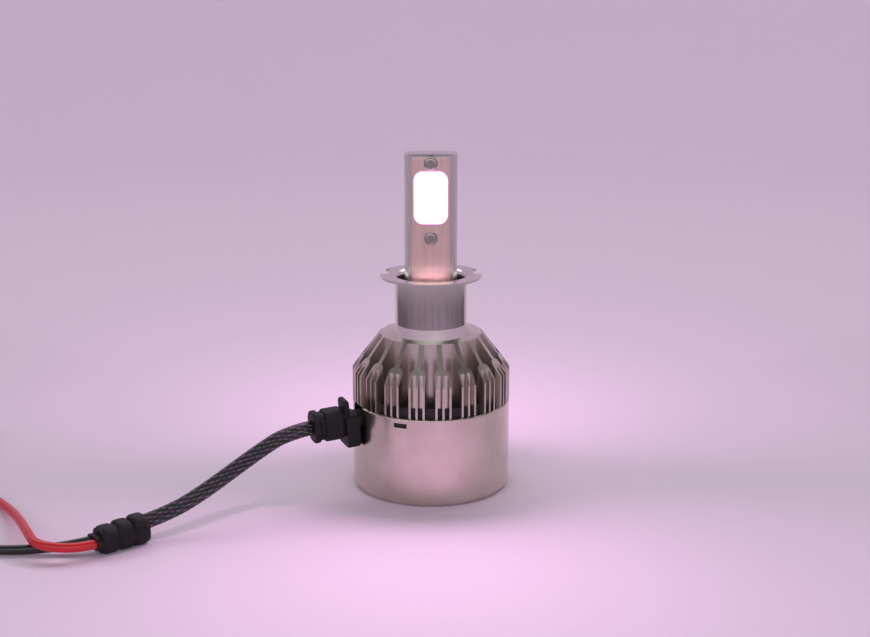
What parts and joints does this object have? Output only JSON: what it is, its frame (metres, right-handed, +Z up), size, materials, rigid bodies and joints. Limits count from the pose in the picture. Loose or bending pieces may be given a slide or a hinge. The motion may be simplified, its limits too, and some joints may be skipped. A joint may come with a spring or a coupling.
{
  "type": "led headlight bulb",
  "caption": "LED headlight bulb with a flat post carrying a light pad on each face, a disc collar, a tree-finned heatsink, a fan shroud and a braided pigtail ending in blade terminals.",
  "frame": {"origin": "centre of the shroud's foot, on the surface that the bulb stands on", "axes": "+Z up the bulb's axis towards the LEDs, -Y out of the front LED, -X towards the side where the cable leaves"},
  "size_m": [0.1407, 0.0752, 0.0734],
  "materials": {
    "bare_aluminium": "extruded and turned, bare metal",
    "post_aluminium": "machined, satin",
    "board_copper": "bare copper plate, satin",
    "led_phosphor": "phosphor-filled silicone, lit",
    "screw_steel": "plated, satin",
    "plated_steel": "bright plated sheet",
    "shroud_metal": "satin silver",
    "black_plastic": "moulded, matt",
    "circuit_green": "solder mask",
    "ferrite": "sintered, matt",
    "can_aluminium": "drawn can",
    "chip_plastic": "moulded",
    "bearing_bronze": "sintered bronze",
    "lamination_steel": "stacked sheet",
    "coil_copper": "enamelled winding",
    "shaft_steel": "ground",
    "lead_insulation": "insulated wire",
    "black_rubber": "moulded, matt",
    "black_braid": "woven sleeve",
    "red_insulation": "soft, slightly glossy",
    "black_insulation": "soft, slightly glossy",
    "tinned_brass": "stamped, tinned"
  },
  "bodies": {
    "bulb": {"black_terminal": "tinned_brass", "black_terminal_sleeve": "black_insulation", "black_wire": "black_insulation", "board_screws": "screw_steel", "braided_cable": "black_braid", "cable_grommet": "black_rubber", "cable_joint": "black_rubber", "carrier_ring": "black_plastic", "driver_board": "circuit_green", "driver_capacitors": "can_aluminium", "driver_chip": "chip_plastic", "driver_inductor": "ferrite", "driver_screws": "screw_steel", "fan_bearing": "bearing_bronze", "fan_circuit": "circuit_green", "fan_frame": "black_plastic", "fan_leads": "lead_insulation", "fan_shroud": "shroud_metal", "heatsink": "bare_aluminium", "input_leads": "lead_insulation", "led_board_front": "board_copper", "led_board_rear": "board_copper", "led_emitter_front": "led_phosphor", "led_emitter_rear": "led_phosphor", "led_leads": "lead_insulation", "led_post": "post_aluminium", "mount_collar": "plated_steel", "red_terminal": "tinned_brass", "red_terminal_sleeve": "red_insulation", "red_wire": "red_insulation", "stator_coils": "coil_copper", "stator_core": "lamination_steel"},
    "rotor": {"fan_rotor": "black_plastic", "rotor_shaft": "shaft_steel", "rotor_magnet": "ferrite"}
  },
  "joints": [
    {"name": "fan_spin", "type": "hinge", "parent": "bulb", "child": "rotor", "pos_m": [0, 0, 0.0048], "axis": [0, 0, 1], "continuous": true}
  ]
}
